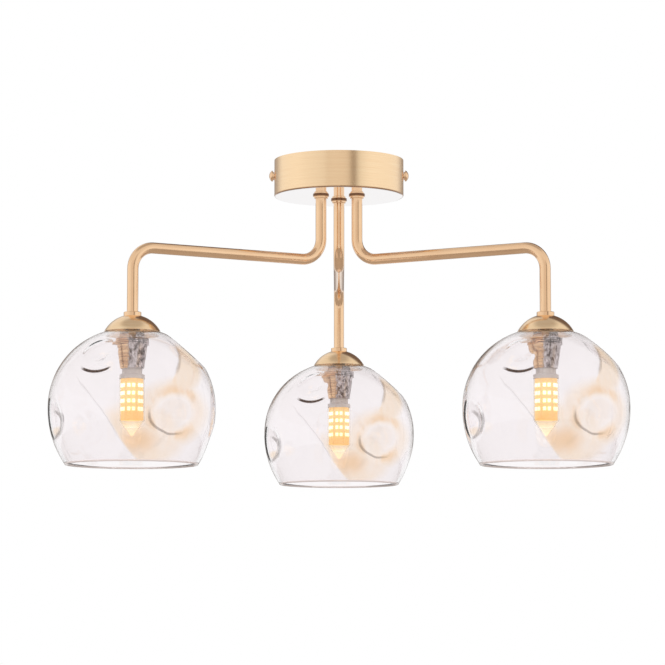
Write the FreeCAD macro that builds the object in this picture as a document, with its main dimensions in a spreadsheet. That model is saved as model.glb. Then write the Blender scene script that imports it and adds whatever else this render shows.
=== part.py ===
import FreeCAD, Part
import math
import operator
import os
import Sketcher
from FreeCAD import Placement, Rotation, Vector

# Three-arm semi flush ceiling light. Origin: centre of the canopy on the ceiling plane, +Z up,
# the front of the lamp towards -Y. Lengths in millimetres, angles in degrees.

SIZES = {
    # canopy: a spun brass cup with its rim at the ceiling
    "canopy_diameter": 120.0,
    "canopy_depth": 34.0,
    "canopy_wall": 1.2,
    "canopy_corner": 1.4,
    # ceiling bracket: a folded steel strap inside the canopy
    "strap_width": 20.0,
    "strap_thick": 2.0,
    "leg_depth": 21.0,
    "slot_width": 5.0,
    "slot_length": 20.0,
    "slot_spacing": 64.0,
    "earth_thread": 4.0,
    "earth_head": 7.6,
    "earth_head_depth": 2.6,
    "earth_head_edge": 1.1,
    # terminal block under the strap
    "block_width": 13.0,
    "block_pitch": 6.6,
    "block_depth": 12.0,
    "block_bore": 3.6,
    "block_edge": 1.0,
    # side thumb screws that hold the canopy on the bracket
    "side_screw_depth": 14.5,
    "side_screw_thread": 4.0,
    "side_screw_reach": 8.2,
    "side_screw_chamfer": 0.4,
    "side_head_diameter": 10.0,
    "side_head_depth": 3.4,
    "side_head_edge": 1.0,
    "side_washer_diameter": 7.6,
    "side_washer_thick": 1.2,
    # arms: bent brass tube, threaded at both ends
    "stem_circle": 19.2,
    "arm_reach": 212.0,
    "arm_drop": 61.0,
    "outer_drop": 58.8,
    "bend_radius": 20.0,
    "tube_diameter": 10.0,
    "tube_wall": 1.0,
    "thread_rise": 6.0,
    # nuts, washers and collars on the tubes
    "nut_flats": 14.0,
    "nut_thick": 4.0,
    "lock_nut_flats": 13.0,
    "lock_nut_thick": 3.0,
    "stem_washer_diameter": 19.0,
    "stem_washer_thick": 1.0,
    "top_collar_diameter": 15.0,
    "top_collar_thick": 1.5,
    "top_collar_ring": 12.6,
    "top_collar_drop": 3.2,
    "low_collar_diameter": 15.7,
    "low_collar_depth": 3.5,
    "collar_edge": 0.4,
    # wires
    "wire_diameter": 3.2,
    "wire_entry": 8.0,
    # dome cap over each shade
    "dome_diameter": 50.0,
    "dome_depth": 14.0,
    "dome_radius": 28.2,
    "dome_wall": 1.0,
    # glass shade
    "glass_radius": 74.2,
    "glass_crown": 71.4,
    "glass_bowl": 80.0,
    "glass_fullness": 2.05,
    "glass_depth": 119.3,
    "glass_wall": 2.8,
    "glass_lip": 57.0,
    "glass_hole": 12.0,
    "gasket_thick": 1.5,
    "gasket_width": 5.0,
    # lampholder: brass cup and ceramic insert
    "hub_diameter": 23.0,
    "hub_depth": 6.0,
    "hub_floor": 2.9,
    "ring_diameter": 30.0,
    "ring_depth": 5.6,
    "ring_groove": 0.7,
    "cone_top": 27.6,
    "cone_mouth": 21.2,
    "cup_depth": 33.0,
    "cup_wall": 1.0,
    "insert_diameter": 16.4,
    "insert_length": 21.0,
    "insert_edge": 1.0,
    "pin_spacing": 9.0,
    "pin_width": 4.2,
    "pin_thick": 1.2,
    "pin_length": 8.5,
    "pin_slot_depth": 10.0,
    # corn bulb
    "bulb_neck": 18.0,
    "bulb_neck_length": 8.0,
    "bulb_edge": 0.7,
    "bulb_diameter": 22.6,
    "bulb_collar": 4.0,
    "bulb_lit_length": 37.0,
    "bulb_taper": 6.5,
    "bulb_shoulder": 13.0,
    "bulb_tip": 7.5,
    "bulb_point": 1.0,
    "bulb_wall": 0.9,
    "board_flats": 17.5,
    "led_width": 2.6,
    "led_height": 3.2,
    "led_thick": 0.8,
    "led_row_pitch": 7.0,
    "led_first_row": 6.0,
    "led_column_offset": 2.1,
    # clearances
    "running_fit": 0.05,
    "loose_fit": 0.25,
    "seat_gap": 0.3,
}

ARM_ANGLES = {"left": 210, "right": 330, "back": 90}
SIDES = {"left": -1, "right": 1}
LED_ROWS = 4
BOARD_SIDES = 6
RING_GROOVES = 3
BLOCK_POLES = 3

# The cage of the glass: columns round the axis and rows from the hole to the rim on each face.
GLASS_COLUMNS = 48
GLASS_ROWS = 30
ROW_CROWDING = 0.75
LIP_SHARPNESS = 40.0

# Dents pressed into the glass: bearing from the front (to the right), then shares of the glass's
# radius: the centre's height below the dome's rim, the dent's radius and its depth.
DENTS = [
    (35, 1.12, 0.285, 0.115),
    (-68, 1.08, 0.27, 0.115),
    (-27, 0.30, 0.23, 0.075),
    (88, 0.20, 0.34, 0.075),
    (98, 1.33, 0.255, 0.047),
    (152, 0.89, 0.31, 0.095),
    (-140, 1.10, 0.285, 0.09),
    (-158, 0.38, 0.27, 0.075),
]

OPERATORS = {
    "+": operator.add,
    "-": operator.sub,
    "*": operator.mul,
    "/": operator.truediv,
    "^": operator.pow,
}

doc = FreeCAD.newDocument("ceiling_light")
sheet = doc.addObject("Spreadsheet::Sheet", "Sizes")
for row, (alias, value) in enumerate(SIZES.items(), 1):
    sheet.set("A%d" % row, alias)
    sheet.set("B%d" % row, str(value))
    sheet.setAlias("B%d" % row, alias)
doc.recompute()


class Size:
    """A length with its value now and the sheet expression that keeps it up to date."""

    def __init__(self, value, text):
        self.value = value
        self.text = text

    def __add__(self, other):
        return combine(self, "+", other)

    def __radd__(self, other):
        return combine(other, "+", self)

    def __sub__(self, other):
        return combine(self, "-", other)

    def __rsub__(self, other):
        return combine(other, "-", self)

    def __mul__(self, other):
        return combine(self, "*", other)

    def __rmul__(self, other):
        return combine(other, "*", self)

    def __truediv__(self, other):
        return combine(self, "/", other)

    def __rtruediv__(self, other):
        return combine(other, "/", self)

    def __pow__(self, other):
        return combine(self, "^", other)

    def __neg__(self):
        return combine(0, "-", self)


def size_of(number):
    if isinstance(number, Size):
        return number
    return Size(float(number), "%.9g" % number)


def combine(left, sign, right):
    left = size_of(left)
    right = size_of(right)
    value = OPERATORS[sign](left.value, right.value)
    return Size(value, "(%s %s %s)" % (left.text, sign, right.text))


def root(size):
    return Size(math.sqrt(size.value), "sqrt(%s)" % size.text)


def cell(alias):
    return Size(float(sheet.get(alias)), "Sizes." + alias)


def cosine(angle):
    return round(math.cos(math.radians(angle)), 12)


def sine(angle):
    return round(math.sin(math.radians(angle)), 12)


# ---------------------------------------------------------------- sketches and features


def new_body(name):
    body = doc.addObject("PartDesign::Body", name)
    body.Label = name
    return body


def place(body, x, y, z, turn=0):
    body.Placement = Placement(Vector(), Rotation(Vector(0, 0, 1), turn))
    for axis, size in zip("xyz", (x, y, z)):
        body.setExpression("Placement.Base." + axis, size_of(size).text)


def new_sketch(body, role, height=0):
    sketch = body.newObject("Sketcher::SketchObject", body.Name + "_sketch")
    plane = next(item for item in body.Origin.OriginFeatures if item.Role == role)
    sketch.AttachmentSupport = [(plane, "")]
    sketch.MapMode = "FlatFace"
    sketch.setExpression("AttachmentOffset.Base.z", size_of(height).text)
    sketch.Visibility = False
    return sketch


def drive(sketch, constraint, size):
    index = sketch.addConstraint(constraint)
    sketch.setExpression("Constraints[%d]" % index, size.text)


def pin_point(sketch, edge, end, x, y):
    for kind, size in (("DistanceX", size_of(x)), ("DistanceY", size_of(y))):
        drive(sketch, Sketcher.Constraint(kind, edge, end, size.value), size)


def point(corner):
    return Vector(size_of(corner[0]).value, size_of(corner[1]).value, 0)


def arc_between(start, end, radius):
    """The short arc from start to end: a positive radius turns left, a negative one right."""
    chord = end - start
    side = Vector(-chord.y, chord.x, 0).normalize() * math.copysign(1, radius)
    centre = (start + end) * 0.5 + side * math.sqrt(radius**2 - (chord.Length / 2) ** 2)
    first, last = (start, end) if radius > 0 else (end, start)
    angles = [math.atan2(place.y - centre.y, place.x - centre.x) for place in (first, last)]
    return Part.ArcOfCircle(Part.Circle(centre, Vector(0, 0, 1), abs(radius)), *angles)


def outline(sketch, corners):
    """Closed profile through corners (x, y) or (x, y, radius): a radius bends the edge that follows."""
    edges = []
    for index, corner in enumerate(corners):
        start = point(corner)
        end = point(corners[(index + 1) % len(corners)])
        if len(corner) == 3:
            radius = size_of(corner[2])
            edge = sketch.addGeometry(arc_between(start, end, radius.value), False)
            ends = (1, 2) if radius.value > 0 else (2, 1)
            size = radius if radius.value > 0 else -radius
            drive(sketch, Sketcher.Constraint("Radius", edge, size.value), size)
        else:
            edge = sketch.addGeometry(Part.LineSegment(start, end), False)
            ends = (1, 2)
        pin_point(sketch, edge, ends[0], corner[0], corner[1])
        edges.append((edge, ends))
    for (edge, ends), (following, following_ends) in zip(edges, edges[1:] + edges[:1]):
        joint = Sketcher.Constraint("Coincident", edge, ends[1], following, following_ends[0])
        sketch.addConstraint(joint)


def circle(sketch, x, y, radius):
    centre = point((x, y))
    radius = size_of(radius)
    edge = sketch.addGeometry(Part.Circle(centre, Vector(0, 0, 1), radius.value), False)
    drive(sketch, Sketcher.Constraint("Radius", edge, radius.value), radius)
    pin_point(sketch, edge, 3, x, y)


def rectangle(sketch, x, y, width, height):
    left, right = x - width / 2, x + width / 2
    low, high = y - height / 2, y + height / 2
    outline(sketch, [(left, low), (right, low), (right, high), (left, high)])


def slot(sketch, x, y, length, width):
    """Round-ended slot along the sketch's own X, of that length between its round ends' centres."""
    left, right = x - length / 2, x + length / 2
    low, middle, high = y - width / 2, y, y + width / 2
    half = width / 2
    outline(
        sketch,
        [
            (left, low),
            (right, low, half),
            (right + half, middle, half),
            (right, high),
            (left, high, half),
            (left - half, middle, half),
        ],
    )


def bent_path(sketch, corners, radii):
    """Open path of level and upright runs through the corners, joined by tangent arcs."""
    places = [point(corner) for corner in corners]
    steps = [(after - before).normalize() for before, after in zip(places, places[1:])]
    cuts = [0] + [size_of(radius).value for radius in radii] + [0]
    lines = []
    for index, step in enumerate(steps):
        start = places[index] + step * cuts[index]
        end = places[index + 1] - step * cuts[index + 1]
        line = sketch.addGeometry(Part.LineSegment(start, end), False)
        upright = abs(step.y) > abs(step.x)
        sketch.addConstraint(Sketcher.Constraint("Vertical" if upright else "Horizontal", line))
        kind = "DistanceX" if upright else "DistanceY"
        size = size_of(corners[index][0 if upright else 1])
        drive(sketch, Sketcher.Constraint(kind, line, 1, size.value), size)
        lines.append((line, upright, start, end, step))
    for (line, _, _, end, step), (after, _, begin, _, turn), radius in zip(lines, lines[1:], radii):
        radius = size_of(radius)
        left = step.x * turn.y - step.y * turn.x > 0
        bend = arc_between(end, begin, radius.value if left else -radius.value)
        arc = sketch.addGeometry(bend, False)
        first, last = (1, 2) if left else (2, 1)
        sketch.addConstraint(Sketcher.Constraint("Tangent", line, 2, arc, first))
        sketch.addConstraint(Sketcher.Constraint("Tangent", arc, last, after, 1))
        drive(sketch, Sketcher.Constraint("Radius", arc, radius.value), radius)
    for (line, upright, *_), end, corner in ((lines[0], 1, corners[0]), (lines[-1], 2, corners[-1])):
        kind = "DistanceY" if upright else "DistanceX"
        size = size_of(corner[1 if upright else 0])
        drive(sketch, Sketcher.Constraint(kind, line, end, size.value), size)


def feature(body, kind, sketch):
    made = body.newObject("PartDesign::" + kind, body.Name + "_" + kind.lower())
    made.Profile = sketch
    return made


def pad(body, sketch, length, midplane=False, down=False):
    made = feature(body, "Pad", sketch)
    made.setExpression("Length", size_of(length).text)
    made.Midplane = midplane
    made.Reversed = down
    return made


def pocket(body, sketch, length=None, midplane=False, flip=False):
    made = feature(body, "Pocket", sketch)
    if length is None:
        made.Type = "ThroughAll"
    else:
        made.setExpression("Length", size_of(length).text)
    made.Midplane = midplane
    made.Reversed = flip
    return made


def turned(name, *profiles):
    """A piece turned about its own Z, from a closed profile and further profiles cut out of it."""
    body = new_body(name)
    for index, corners in enumerate(profiles):
        sketch = new_sketch(body, "XZ_Plane")
        outline(sketch, corners)
        made = feature(body, "Groove" if index else "Revolution", sketch)
        made.ReferenceAxis = (sketch, ["V_Axis"])
        made.Angle = 360
    return body


def round_edges(body, base, radius, chosen):
    """Fillets the edges of a feature whose middle point passes the test."""
    doc.recompute()
    names = [
        "Edge%d" % number
        for number, edge in enumerate(base.Shape.Edges, 1)
        if chosen(edge.CenterOfMass, edge)
    ]
    made = body.newObject("PartDesign::Fillet", body.Name + "_fillet")
    made.Base = (base, names)
    made.setExpression("Radius", size_of(radius).text)
    return made


def patterned(body, original, count, axis, angle=360):
    made = body.newObject("PartDesign::PolarPattern", body.Name + "_pattern")
    made.Originals = [original]
    made.Axis = (next(item for item in body.Origin.OriginFeatures if item.Role == axis), [""])
    made.Angle = angle
    made.Occurrences = count
    body.Tip = made
    return made


def repeated(body, original, count, axis, step):
    made = body.newObject("PartDesign::LinearPattern", body.Name + "_row")
    made.Originals = [original]
    made.Direction = (next(item for item in body.Origin.OriginFeatures if item.Role == axis), [""])
    made.Mode = "Spacing"
    made.setExpression("Offset", size_of(step).text)
    made.Occurrences = count
    body.Tip = made
    return made


# ---------------------------------------------------------------- levels shared by several pieces

canopy_radius = cell("canopy_diameter") / 2
canopy_bore = canopy_radius - cell("canopy_wall")
canopy_floor = cell("canopy_wall") - cell("canopy_depth")
stem_circle = cell("stem_circle")
arm_reach = cell("arm_reach")
tube_radius = cell("tube_diameter") / 2
thread_bore = tube_radius + cell("running_fit")
tube_top = canopy_floor + cell("stem_washer_thick") + cell("thread_rise")
run_level = -cell("canopy_depth") - cell("arm_drop")
low_collar_top = run_level - cell("outer_drop")
dome_top = low_collar_top - cell("low_collar_depth")
dome_rim = dome_top - cell("dome_depth")
half_block = cell("block_width") / 2
block_length = cell("block_pitch") * BLOCK_POLES
strap_half = cell("strap_width") / 2
leg_face = root(canopy_bore * canopy_bore - strap_half * strap_half) - cell("seat_gap")
slot_start = (cell("slot_spacing") - cell("slot_length")) / 2
earth_place = (half_block + slot_start) / 2


def crown_rise(radius):
    """Height of the glass's undented outer face over its widest place, at a radius near the crown."""
    power = cell("glass_fullness")
    return cell("glass_crown") * (1 - (radius / cell("glass_radius")) ** power) ** (1 / power)


# below the dome's rim: the glass clears the inside of that rim, and the gasket clears the glass
dome_mouth = cell("dome_diameter") / 2 - cell("dome_wall")
glass_centre = -cell("seat_gap") - crown_rise(dome_mouth)
gasket_radius = cell("glass_hole") / 2 + cell("gasket_width")
gasket_seat = glass_centre + crown_rise(gasket_radius) - cell("glass_wall") - cell("seat_gap")
hub_top = gasket_seat - cell("gasket_thick")
ring_top = -cell("hub_depth")
cone_start = ring_top - cell("ring_depth")
cup_ceiling = ring_top - cell("hub_floor")
tube_end = cup_ceiling + cell("seat_gap")
insert_face = cup_ceiling - cell("insert_length")
bulb_top = insert_face - cell("seat_gap")
collar_top = bulb_top - cell("bulb_neck_length")
lit_top = collar_top - cell("bulb_collar")
lit_bottom = lit_top - cell("bulb_lit_length")


# ---------------------------------------------------------------- canopy and what it hides


def ceiling_bracket():
    body = new_body("ceiling_bracket")
    thick = cell("strap_thick")
    leg = -cell("leg_depth")
    inner = leg_face - thick
    sketch = new_sketch(body, "XZ_Plane")
    outline(
        sketch,
        [
            (-leg_face, 0),
            (-leg_face, leg),
            (-inner, leg),
            (-inner, -thick),
            (inner, -thick),
            (inner, leg),
            (leg_face, leg),
            (leg_face, 0),
        ],
    )
    strap = pad(body, sketch, cell("strap_width"), midplane=True)
    round_edges(
        body,
        strap,
        thick / 2,
        lambda middle, edge: abs(middle.y) < 0.01
        and edge.Length > 1.5 * thick.value
        and middle.z > -2 * thick.value
        and abs(middle.x) > inner.value - 0.01,
    )
    slots = new_sketch(body, "XY_Plane")
    straight = cell("slot_length") - cell("slot_width")
    for side in SIDES.values():
        slot(slots, side * cell("slot_spacing") / 2, 0, straight, cell("slot_width"))
    pocket(body, slots, midplane=True)
    earth = new_sketch(body, "XY_Plane")
    circle(earth, -earth_place, 0, cell("earth_thread") / 2)
    pocket(body, earth, midplane=True)
    threads = new_sketch(body, "YZ_Plane")
    circle(threads, 0, -cell("side_screw_depth"), cell("side_screw_thread") / 2 + cell("running_fit"))
    pocket(body, threads, midplane=True)
    return body


def terminal_block():
    body = new_body("terminal_block")
    depth = cell("block_depth")
    sketch = new_sketch(body, "XY_Plane")
    rectangle(sketch, 0, 0, cell("block_width"), block_length)
    block = pad(body, sketch, depth, down=True)
    upright = lambda middle, edge: abs(middle.z + depth.value / 2) < 0.01
    round_edges(body, block, cell("block_edge"), upright)
    bores = new_sketch(body, "YZ_Plane")
    first = -cell("block_pitch") * (BLOCK_POLES - 1) / 2
    circle(bores, first, cell("strap_thick") - cell("wire_entry"), cell("block_bore") / 2)
    wires = pocket(body, bores, midplane=True)
    repeated(body, wires, BLOCK_POLES, "Y_Axis", cell("block_pitch"))
    wells = new_sketch(body, "XY_Plane", -depth)
    for side in SIDES.values():
        circle(wells, side * cell("block_width") / 4, first, cell("block_bore") / 2)
    screws = pocket(body, wells, depth / 4, flip=True)
    repeated(body, screws, BLOCK_POLES, "Y_Axis", cell("block_pitch"))
    place(body, 0, 0, -cell("strap_thick"))
    return body


def earth_screw():
    shank = cell("earth_thread") / 2 - cell("running_fit")
    seat = -cell("strap_thick")
    under = seat - cell("earth_head_depth")
    head = cell("earth_head") / 2
    edge = cell("earth_head_edge")
    body = turned(
        "earth_screw",
        [
            (0, 0),
            (0, under),
            (head - edge, under, edge),
            (head, under + edge),
            (head, seat),
            (shank, seat),
            (shank, 0),
        ],
    )
    place(body, -earth_place, 0, 0)
    return body


def canopy():
    body = turned(
        "canopy",
        [
            (0, -cell("canopy_depth")),
            (canopy_radius, -cell("canopy_depth")),
            (canopy_radius, 0),
            (canopy_bore, 0),
            (canopy_bore, canopy_floor),
            (0, canopy_floor),
        ],
    )
    shell = body.Tip
    round_edges(
        body,
        shell,
        cell("canopy_corner"),
        lambda middle, edge: edge.Length > 1.9 * math.pi * canopy_radius.value
        and abs(edge.BoundBox.ZMax + cell("canopy_depth").value) < 0.01,
    )
    holes = new_sketch(body, "XY_Plane")
    circle(holes, 0, stem_circle, tube_radius + cell("loose_fit"))
    stem_hole = pocket(body, holes)
    patterned(body, stem_hole, len(ARM_ANGLES), "Z_Axis")
    sides = new_sketch(body, "YZ_Plane")
    circle(sides, 0, -cell("side_screw_depth"), cell("side_screw_thread") / 2 + cell("loose_fit"))
    pocket(body, sides, midplane=True)
    return body


def side_screw(side, sign):
    """Thumb screw: a domed head outside the canopy, its thread through the wall and the bracket's leg."""
    inner = canopy_radius + cell("loose_fit") + cell("side_washer_thick")
    edge = inner + cell("side_head_edge")
    crown = inner + cell("side_head_depth")
    head = cell("side_head_diameter") / 2
    shank = cell("side_screw_thread") / 2
    tip = inner - cell("side_screw_reach")
    rise = crown - edge
    bulge = (head * head + rise * rise) / (2 * rise)
    chamfer = cell("side_screw_chamfer")
    screw = turned(
        "side_screw_" + side,
        [
            (0, crown),
            (0, tip),
            (shank - chamfer, tip),
            (shank, tip + chamfer),
            (shank, inner),
            (head, inner),
            (head, edge, bulge),
        ],
    )
    washer_bore = shank + cell("running_fit")
    washer_edge = cell("side_washer_diameter") / 2
    washer_face = inner - cell("side_washer_thick")
    washer = turned(
        "side_washer_" + side,
        [
            (washer_bore, washer_face),
            (washer_edge, washer_face),
            (washer_edge, inner),
            (washer_bore, inner),
        ],
    )
    for body in (screw, washer):
        place(body, 0, 0, -cell("side_screw_depth"))
        body.Placement = Placement(body.Placement.Base, Rotation(Vector(0, 1, 0), 90 * sign))


# ---------------------------------------------------------------- one arm


def on_stem(body, azimuth):
    place(body, stem_circle * cosine(azimuth), stem_circle * sine(azimuth), 0, azimuth)
    return body


def on_drop(body, azimuth):
    """Pieces below the arm's end keep one bearing, so that every shade faces the same way."""
    place(body, arm_reach * cosine(azimuth), arm_reach * sine(azimuth), dome_rim)
    return body


def arm_tube(arm, azimuth):
    body = new_body("arm_tube_" + arm)
    route = new_sketch(body, "XZ_Plane")
    bend = cell("bend_radius")
    corners = [
        (stem_circle, tube_top),
        (stem_circle, run_level),
        (arm_reach, run_level),
        (arm_reach, dome_rim + tube_end),
    ]
    bent_path(route, corners, [bend, bend])
    section = new_sketch(body, "XY_Plane", tube_top)
    circle(section, stem_circle, 0, tube_radius)
    circle(section, stem_circle, 0, tube_radius - cell("tube_wall"))
    tube = feature(body, "AdditivePipe", section)
    tube.Spine = (route, [])
    place(body, 0, 0, 0, azimuth)
    return body


def arm_wires(arm, azimuth):
    """The lamp's leads, from the terminal block through the tube to the lampholder."""
    body = new_body("arm_wires_" + arm)
    bend = cell("bend_radius")
    entry = -cell("wire_entry")
    radius = cell("wire_diameter") / 2
    slant = abs(cosine(azimuth))
    if slant > 0.5:
        reach = (half_block + cell("seat_gap")) / slant + radius * (abs(sine(azimuth)) / slant)
    else:
        reach = block_length / 2 + cell("seat_gap")
    route = new_sketch(body, "XZ_Plane")
    corners = [
        (reach, entry),
        (stem_circle, entry),
        (stem_circle, run_level),
        (arm_reach, run_level),
        (arm_reach, dome_rim + tube_end),
    ]
    bent_path(route, corners, [stem_circle - reach - cell("seat_gap"), bend, bend])
    section = new_sketch(body, "YZ_Plane", reach)
    circle(section, 0, entry, radius)
    wires = feature(body, "AdditivePipe", section)
    wires.Spine = (route, [])
    place(body, 0, 0, 0, azimuth)
    return body


def hex_nut(name, seat, flats, thick):
    body = new_body(name)
    sketch = new_sketch(body, "XY_Plane", seat)
    corner = flats / 2 / cosine(30)
    outline(sketch, [(corner * cosine(turn), corner * sine(turn)) for turn in range(0, 360, 60)])
    circle(sketch, 0, 0, thread_bore)
    pad(body, sketch, thick)
    return body


def top_fittings(arm, azimuth):
    bore = tube_radius + cell("loose_fit")
    edge = cell("stem_washer_diameter") / 2
    nut_seat = canopy_floor + cell("stem_washer_thick")
    washer = turned(
        "stem_washer_" + arm,
        [(bore, canopy_floor), (edge, canopy_floor), (edge, nut_seat), (bore, nut_seat)],
    )
    on_stem(washer, azimuth)
    nut = hex_nut("stem_nut_" + arm, nut_seat, cell("nut_flats"), cell("nut_thick"))
    on_stem(nut, azimuth)
    seat = -cell("canopy_depth")
    soft = cell("collar_edge")
    plate = seat - cell("top_collar_thick")
    end = seat - cell("top_collar_drop")
    wide = cell("top_collar_diameter") / 2
    narrow = cell("top_collar_ring") / 2
    collar = turned(
        "top_collar_" + arm,
        [
            (thread_bore, end),
            (narrow - soft, end),
            (narrow, end + soft),
            (narrow, plate),
            (wide - soft, plate),
            (wide, plate + soft),
            (wide, seat),
            (thread_bore, seat),
        ],
    )
    on_stem(collar, azimuth)


def low_fittings(arm, azimuth):
    depth = cell("dome_depth")
    top = depth + cell("low_collar_depth")
    wide = cell("low_collar_diameter") / 2
    soft = cell("collar_edge")
    collar = turned(
        "low_collar_" + arm,
        [(thread_bore, depth), (wide, depth), (wide, top - soft), (wide - soft, top), (thread_bore, top)],
    )
    on_drop(collar, azimuth)
    rim = cell("dome_diameter") / 2
    wall = cell("dome_wall")
    curve = cell("dome_radius")
    hole = tube_radius + cell("loose_fit")
    cap = turned(
        "dome_cap_" + arm,
        [
            (rim, 0, curve),
            (wide, depth),
            (hole, depth),
            (hole, depth - wall),
            (wide - wall / 4, depth - wall, wall - curve),
            (rim - wall, 0),
        ],
    )
    on_drop(cap, azimuth)
    thick = cell("lock_nut_thick")
    nut = hex_nut("lock_nut_" + arm, depth - wall - thick, cell("lock_nut_flats"), thick)
    on_drop(nut, azimuth)


# ---------------------------------------------------------------- glass shade


def glass_profile(turn):
    """Radius and height of the undented outer face at an angle from the crown."""
    across = abs(math.sin(turn))
    along = math.cos(turn)
    height = cell("glass_crown").value if along > 0 else cell("glass_bowl").value
    power = cell("glass_fullness").value
    reach = (across / cell("glass_radius").value) ** power + (abs(along) / height) ** power
    reach = reach ** (-1 / power)
    radius = reach * across
    if along < 0:
        lip = cell("glass_lip").value
        radius = (radius**LIP_SHARPNESS + lip**LIP_SHARPNESS) ** (1 / LIP_SHARPNESS)
    return radius, glass_centre.value + reach * along


def solve(low, high, above):
    for _ in range(50):
        middle = (low + high) / 2
        if above(middle):
            high = middle
        else:
            low = middle
    return low


def glass_turns():
    """Angles of the rows, closer together towards the hole and the rim."""
    hole = cell("glass_hole").value / 2 + cell("glass_wall").value / 2
    rim = -cell("glass_depth").value + cell("glass_wall").value / 2
    first = solve(0, 1, lambda turn: glass_profile(turn)[0] > hole)
    last = solve(math.pi / 2, 3, lambda turn: glass_profile(turn)[1] < rim)
    turns = []
    for row in range(GLASS_ROWS):
        even = row / (GLASS_ROWS - 1)
        eased = (1 - math.cos(math.pi * even)) / 2
        turns.append(first + (last - first) * (even + ROW_CROWDING * (eased - even)))
    return turns


def dent_depth(spot, dents):
    depth = 0
    for centre, radius, deep in dents:
        share = (spot - centre).Length / radius
        if share < 1:
            depth += deep * (1 - share**2) ** 2
    return depth


def placed_dents():
    """Centre of each dent on the undented face, with its radius and depth."""
    scale = cell("glass_radius").value
    placed = []
    for bearing, below, radius, deep in DENTS:
        level = -below * scale
        turn = solve(0.05, 3, lambda angle: glass_profile(angle)[1] < level)
        out = glass_profile(turn)[0]
        angle = math.radians(bearing - 90)
        centre = Vector(out * math.cos(angle), out * math.sin(angle), level)
        placed.append((centre, radius * scale, deep * scale))
    return placed


def glass_ring(turn, inset, dents):
    """One row of the cage: points round the axis, each moved in along the face's normal."""
    nudge = 0.0001
    radius, height = glass_profile(turn)
    before = Vector(*glass_profile(turn - nudge), 0)
    after = Vector(*glass_profile(turn + nudge), 0)
    along = (after - before).normalize()
    ring = []
    for column in range(GLASS_COLUMNS):
        angle = 2 * math.pi * column / GLASS_COLUMNS
        outward = Vector(math.cos(angle), math.sin(angle), 0)
        spot = outward * radius + Vector(0, 0, height)
        normal = outward * -along.y + Vector(0, 0, along.x)
        ring.append(spot - normal * (dent_depth(spot, dents) + inset))
    return ring


def edge_ring(outer, inner, away):
    """Row that rounds an edge: midway between the faces, half the wall further out."""
    half = cell("glass_wall").value / 2
    return [(one + other) * 0.5 + (away(one) * half) for one, other in zip(outer, inner)]


def smoothed(before, middle, after):
    """Where a cubic spline of even knots passes the middle one of three points."""
    return (before + middle * 4 + after) * (1 / 6)


def settled(cage):
    """Moves the cage's points so that the spline surface passes through where they were."""
    rows, columns = len(cage), len(cage[0])
    moved = [list(row) for row in cage]
    for _ in range(3):
        around = [
            [smoothed(row[c - 1], row[c], row[(c + 1) % columns]) for c in range(columns)]
            for row in moved
        ]
        passed = [
            [smoothed(around[r - 1][c], around[r][c], around[(r + 1) % rows][c]) for c in range(columns)]
            for r in range(rows)
        ]
        for r in range(rows):
            moved[r] = [moved[r][c] + cage[r][c] - passed[r][c] for c in range(columns)]
    return moved


def glass_shape():
    """The shade's wall as one closed spline surface: down the outer face, round the rim, up the inner."""
    dents = placed_dents()
    turns = glass_turns()
    outer = [glass_ring(turn, 0, dents) for turn in turns]
    inner = [glass_ring(turn, cell("glass_wall").value, dents) for turn in turns]
    rim = edge_ring(outer[-1], inner[-1], lambda spot: Vector(0, 0, -1))
    hole = edge_ring(outer[0], inner[0], lambda spot: Vector(-spot.x, -spot.y, 0).normalize())
    cage = settled(outer + [rim] + inner[::-1] + [hole])
    surface = Part.BSplineSurface()
    counts = (len(cage), len(cage[0]))
    knots = [[float(knot) for knot in range(count + 1)] for count in counts]
    once = [[1] * (count + 1) for count in counts]
    surface.buildFromPolesMultsKnots(cage, once[0], once[1], knots[0], knots[1], True, True, 3, 3)
    solid = Part.Solid(Part.Shell([surface.toShape()]))
    if solid.Volume < 0:
        solid.reverse()
    return solid


def glass_shade(arm, azimuth, shape):
    shade = doc.addObject("Part::Feature", "glass_shade_" + arm)
    shade.Label = "glass_shade_" + arm
    shade.Shape = shape
    on_drop(shade, azimuth)
    bore = cell("glass_hole") / 2
    gasket = turned(
        "gasket_" + arm,
        [(bore, hub_top), (gasket_radius, hub_top), (gasket_radius, gasket_seat), (bore, gasket_seat)],
    )
    on_drop(gasket, azimuth)


# ---------------------------------------------------------------- lampholder and bulb


def holder_cup(arm, azimuth):
    """Threaded hub, grooved ring and tapered skirt, turned from one piece."""
    hub = cell("hub_diameter") / 2
    ring = cell("ring_diameter") / 2
    top = cell("cone_top") / 2
    mouth = cell("cone_mouth") / 2
    wall = cell("cup_wall")
    bottom = -cell("cup_depth")
    land = cell("ring_depth") / (2 * RING_GROOVES + 1)
    corners = [
        (thread_bore, hub_top),
        (thread_bore, cup_ceiling),
        (top - wall * 2, cup_ceiling),
        (top - wall * 2, cone_start),
        (mouth - wall, bottom),
        (mouth, bottom),
        (top, cone_start),
        (ring, cone_start),
    ]
    for groove in range(RING_GROOVES):
        low = cone_start + land * (2 * groove + 1)
        corners += [(ring, low), (ring - cell("ring_groove"), low + land / 2), (ring, low + land)]
    corners += [(ring, ring_top), (hub, ring_top), (hub, hub_top)]
    body = turned("holder_cup_" + arm, corners)
    on_drop(body, azimuth)


def pin_sketch(body, height, width, thick):
    sketch = new_sketch(body, "XY_Plane", height)
    for side in SIDES.values():
        rectangle(sketch, side * cell("pin_spacing") / 2, 0, width, thick)
    return sketch


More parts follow.
